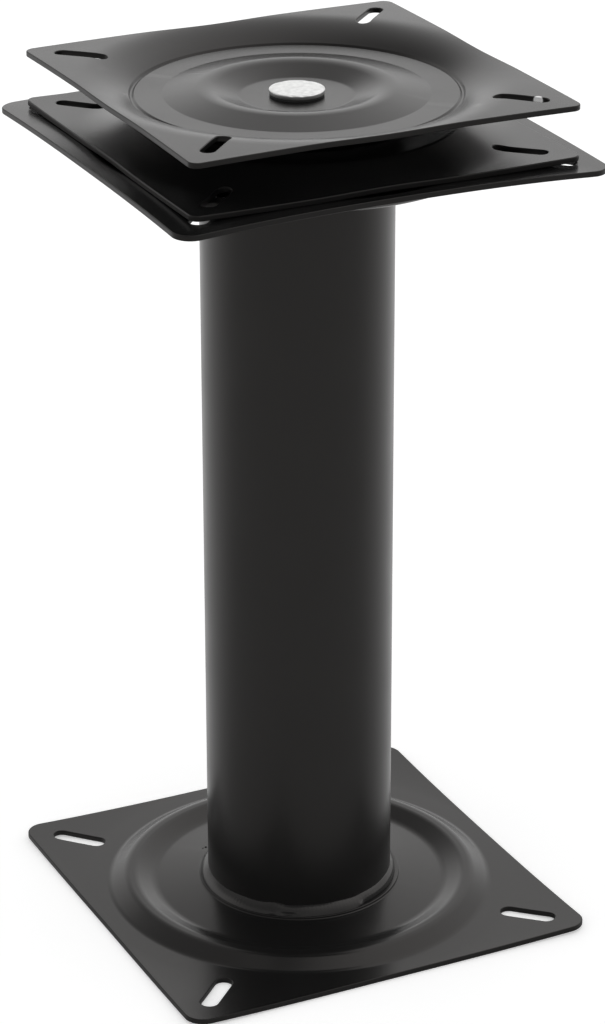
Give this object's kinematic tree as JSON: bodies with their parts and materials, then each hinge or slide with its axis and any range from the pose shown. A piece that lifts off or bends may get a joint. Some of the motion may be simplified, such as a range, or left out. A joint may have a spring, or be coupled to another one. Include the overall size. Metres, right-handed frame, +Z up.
{
  "type": "swivel seat base",
  "caption": "Black pressed-steel seat pedestal: square slotted floor plate, round post and a square ball-bearing swivel on top, for a caravan or camper seat.",
  "frame": {"origin": "centre of the floor plate's underside, on the floor", "axes": "+Z up along the post; X and Y along the sides of the square plates"},
  "size_m": [0.201, 0.201, 0.396],
  "materials": {
    "black_paint": "glossy black powder coat",
    "bright_zinc": "bright zinc plate",
    "black_nylon": "matt nylon",
    "white_acetal": "satin acetal",
    "plain_steel": "plain oiled steel",
    "ball_steel": "polished bearing steel"
  },
  "bodies": {
    "pedestal": {"base_plate": "black_paint", "post_tube": "black_paint", "base_weld": "black_paint", "head_weld": "black_paint", "head_plate": "black_paint", "swivel_lower_plate": "black_paint", "pivot_rivet": "bright_zinc", "rivet_washer": "black_nylon", "tail_washer": "plain_steel"},
    "seat_plate": {"swivel_upper_plate": "black_paint", "pivot_bush": "white_acetal"},
    "ball_ring": {"ball_cage": "black_nylon", "ball_01": "ball_steel", "ball_02": "ball_steel", "ball_03": "ball_steel", "ball_04": "ball_steel", "ball_05": "ball_steel", "ball_06": "ball_steel", "ball_07": "ball_steel", "ball_08": "ball_steel", "ball_09": "ball_steel", "ball_10": "ball_steel", "ball_11": "ball_steel", "ball_12": "ball_steel"}
  },
  "joints": [
    {"name": "seat_swivel", "type": "hinge", "parent": "pedestal", "child": "seat_plate", "pos_m": [0, 0, 0.383], "axis": [0, 0, 1], "continuous": true},
    {"name": "ball_ring_turn", "type": "hinge", "parent": "pedestal", "child": "ball_ring", "pos_m": [0, 0, 0.383], "axis": [0, 0, 1], "continuous": true}
  ],
  "couplings": [
    {"joint": "ball_ring_turn", "follows": "seat_swivel", "ratio": 0.5}
  ]
}
